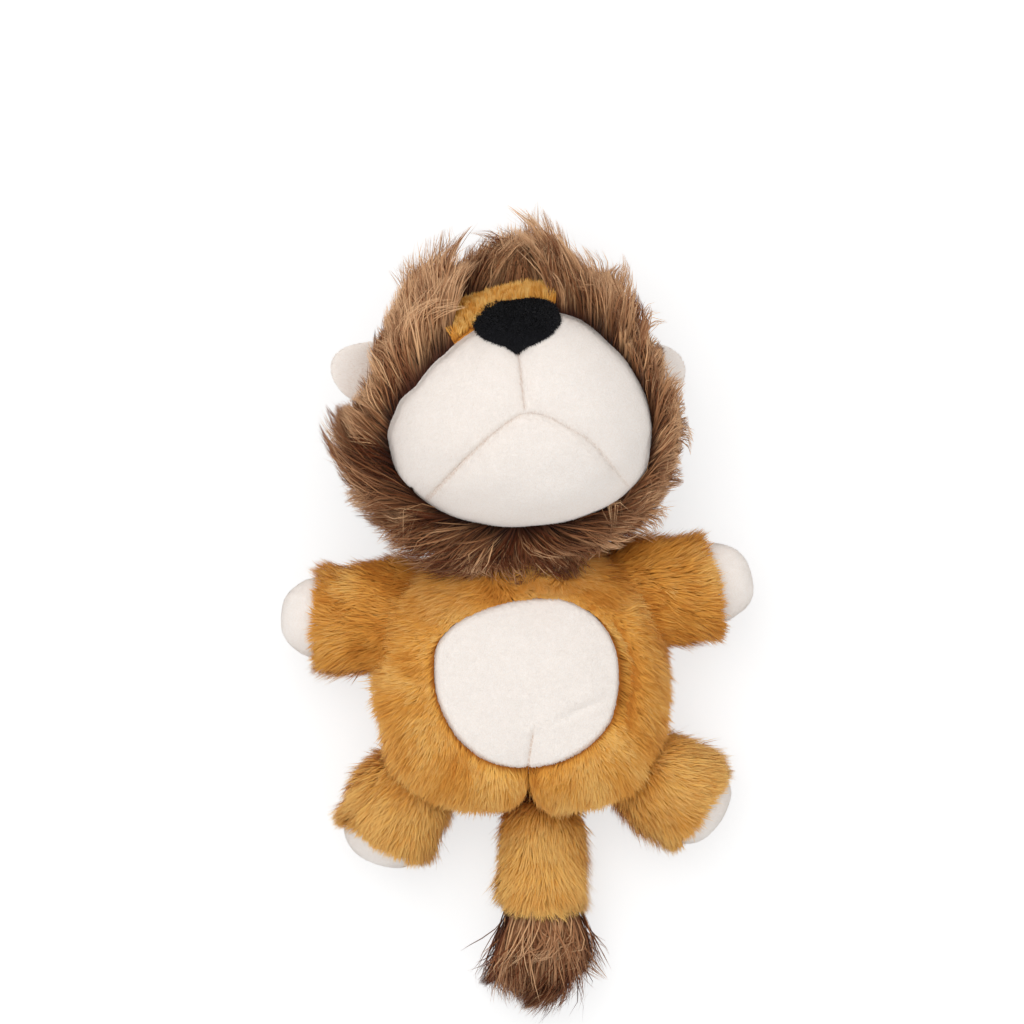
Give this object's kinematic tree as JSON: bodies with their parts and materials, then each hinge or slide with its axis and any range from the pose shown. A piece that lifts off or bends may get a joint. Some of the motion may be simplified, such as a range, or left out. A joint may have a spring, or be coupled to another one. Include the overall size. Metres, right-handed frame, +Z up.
{
  "type": "plush lion",
  "caption": "Stuffed plush lion lying on its back: round body with belly patch, big muzzle, shaggy mane, jointed arms, legs, ears and tufted tail.",
  "frame": {"origin": "middle of the flat on the back of the torso that the lion lies on", "axes": "+Z up out of the belly, +Y towards the head, +X to the viewer's right"},
  "size_m": [0.2064, 0.3347, 0.118],
  "materials": {
    "golden_fur": "matte plush with a pile of about 10 mm",
    "mane_fur": "long shaggy pile with lighter tips",
    "white_velboa": "short pile velboa",
    "black_velboa": "short pile velboa",
    "fibre_fill": "loose polyester fibre",
    "squeaker_plastic": "satin"
  },
  "bodies": {
    "torso": {"torso_back_panel": "golden_fur", "torso_front_left_panel": "golden_fur", "torso_front_right_panel": "golden_fur", "belly_patch": "white_velboa", "torso_stuffing": "fibre_fill", "squeaker_bulb": "squeaker_plastic", "squeaker_reed": "squeaker_plastic"},
    "neck": {"neck_stuffing": "fibre_fill"},
    "head": {"mane_crown_panel": "mane_fur", "mane_left_panel": "mane_fur", "mane_beard_panel": "mane_fur", "mane_right_panel": "mane_fur", "head_back_panel": "mane_fur", "forehead_panel": "golden_fur", "muzzle_left_panel": "white_velboa", "muzzle_right_panel": "white_velboa", "chin_panel": "white_velboa", "nose": "black_velboa", "head_stuffing": "fibre_fill"},
    "ear_left": {"ear_left_front": "white_velboa", "ear_left_back": "white_velboa"},
    "ear_right": {"ear_right_front": "white_velboa", "ear_right_back": "white_velboa"},
    "arm_left": {"arm_left_sleeve": "golden_fur", "arm_left_paw": "white_velboa", "arm_left_stuffing": "fibre_fill"},
    "arm_right": {"arm_right_sleeve": "golden_fur", "arm_right_paw": "white_velboa", "arm_right_stuffing": "fibre_fill"},
    "leg_left": {"leg_left_sleeve": "golden_fur", "leg_left_sole": "white_velboa", "leg_left_stuffing": "fibre_fill"},
    "leg_right": {"leg_right_sleeve": "golden_fur", "leg_right_sole": "white_velboa", "leg_right_stuffing": "fibre_fill"},
    "tail": {"tail_sleeve": "golden_fur", "tail_tuft": "mane_fur", "tail_stuffing": "fibre_fill"}
  },
  "joints": [
    {"name": "neck_nod", "type": "hinge", "parent": "torso", "child": "neck", "pos_m": [0, 0.062, 0.044], "axis": [1, 0, 0], "range_deg": [-25, 15], "stiffness_Nm_per_rad": 0.4},
    {"name": "neck_turn", "type": "hinge", "parent": "neck", "child": "head", "pos_m": [0, 0.062, 0.044], "axis": [0, 1, 0], "range_deg": [-15, 15], "stiffness_Nm_per_rad": 0.4},
    {"name": "ear_left_fold", "type": "hinge", "parent": "head", "child": "ear_left", "pos_m": [-0.05676, 0.13604, 0.06], "axis": [0.3771, 0.9262, 0], "range_deg": [-8, 45], "stiffness_Nm_per_rad": 0.02},
    {"name": "ear_right_fold", "type": "hinge", "parent": "head", "child": "ear_right", "pos_m": [0.04719, 0.13604, 0.034], "axis": [0.4365, -0.8997, 0], "range_deg": [-8, 45], "stiffness_Nm_per_rad": 0.02},
    {"name": "arm_left_lift", "type": "hinge", "parent": "torso", "child": "arm_left", "pos_m": [-0.05808, 0.02958, 0.034], "axis": [0.3175, 0.9482, 0], "range_deg": [-25, 50], "stiffness_Nm_per_rad": 0.08},
    {"name": "arm_right_lift", "type": "hinge", "parent": "torso", "child": "arm_right", "pos_m": [0.05362, 0.03966, 0.034], "axis": [0.4916, -0.8708, 0], "range_deg": [-25, 50], "stiffness_Nm_per_rad": 0.08},
    {"name": "leg_left_lift", "type": "hinge", "parent": "torso", "child": "leg_left", "pos_m": [-0.04736, -0.03637, 0.028], "axis": [-0.7408, 0.6717, 0], "range_deg": [-15, 45], "stiffness_Nm_per_rad": 0.08},
    {"name": "leg_right_lift", "type": "hinge", "parent": "torso", "child": "leg_right", "pos_m": [0.05036, -0.03335, 0.028], "axis": [-0.6676, -0.7445, 0], "range_deg": [-15, 45], "stiffness_Nm_per_rad": 0.08},
    {"name": "tail_lift", "type": "hinge", "parent": "torso", "child": "tail", "pos_m": [0.00851, -0.04835, 0.022], "axis": [-0.9985, -0.055, 0], "range_deg": [-15, 45], "stiffness_Nm_per_rad": 0.08}
  ]
}
